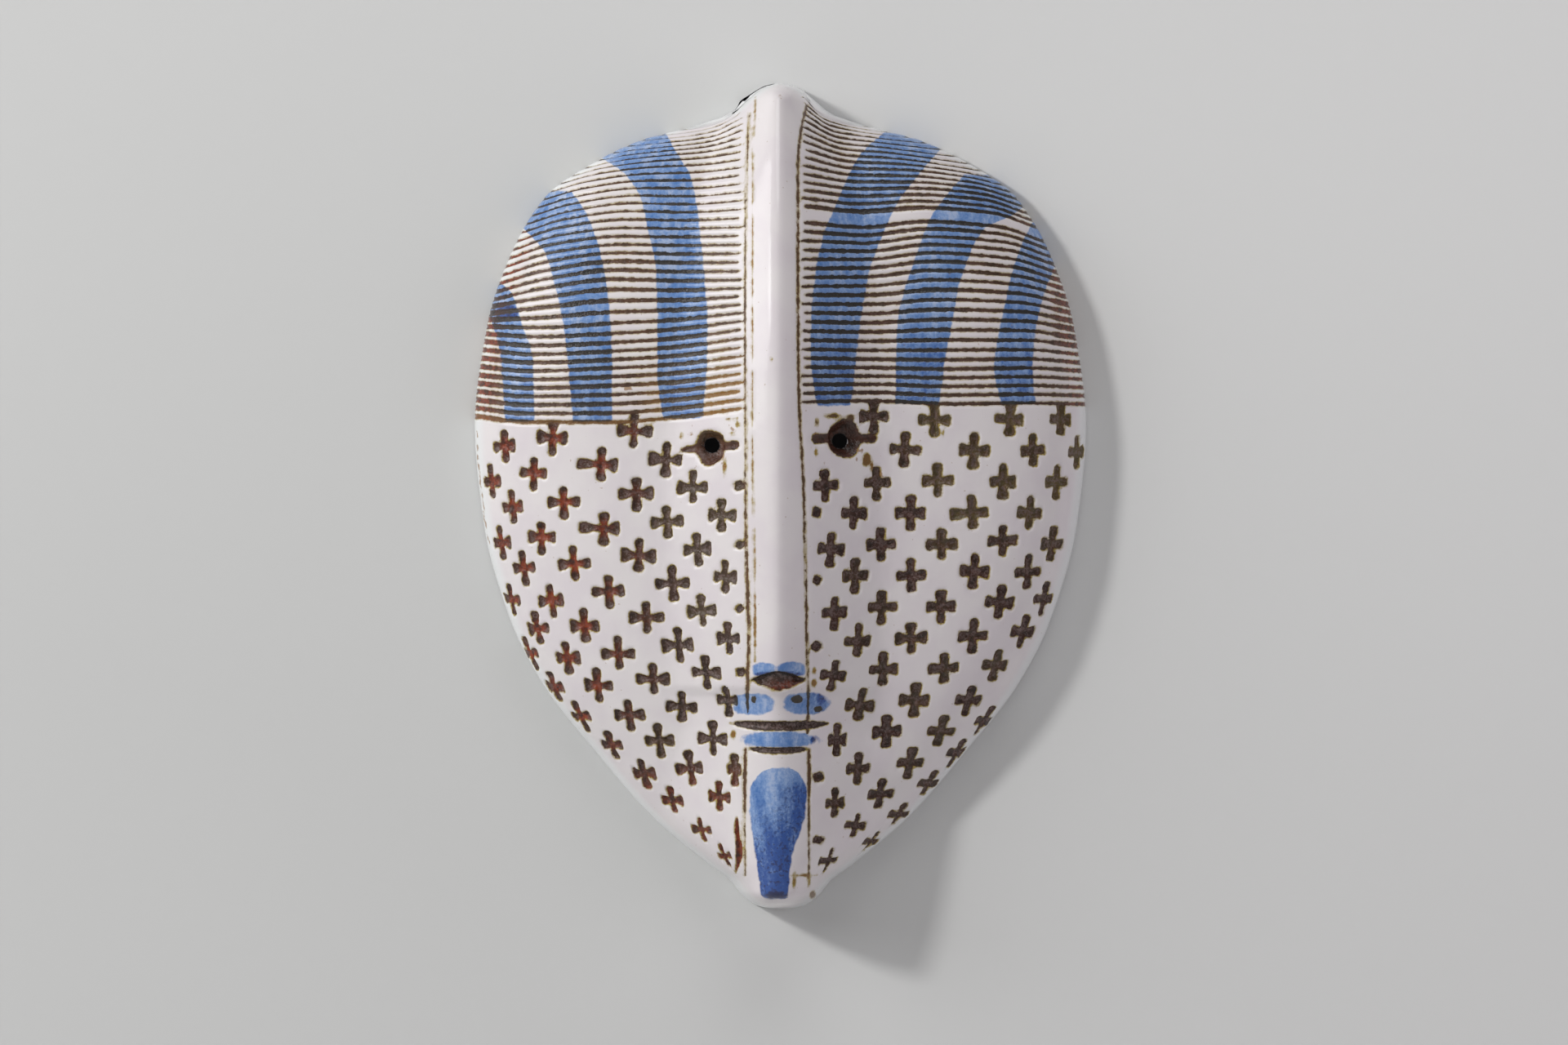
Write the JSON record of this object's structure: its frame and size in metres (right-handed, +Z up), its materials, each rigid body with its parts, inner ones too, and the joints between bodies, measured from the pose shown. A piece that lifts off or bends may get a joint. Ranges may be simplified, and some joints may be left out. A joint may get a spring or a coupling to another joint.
{
  "type": "ceramic wall mask",
  "caption": "Hollow glazed ceramic wall mask with a central ridge, comb lines over the forehead and stamped crosses over the cheeks, hung by its flat back.",
  "frame": {"origin": "on the flat back of the crown, in the plane of the wall, between the nail hole and the top", "axes": "+Z up, +X to the right as the hung mask is seen, +Y into the wall, the face towards -Y"},
  "size_m": [0.2223, 0.066, 0.3],
  "materials": {
    "glaze": "glossy white tin glaze with cobalt blue brush bands and dark manganese in the recesses"
  },
  "bodies": {
    "root": {"mask_body": "glaze"}
  },
  "joints": []
}
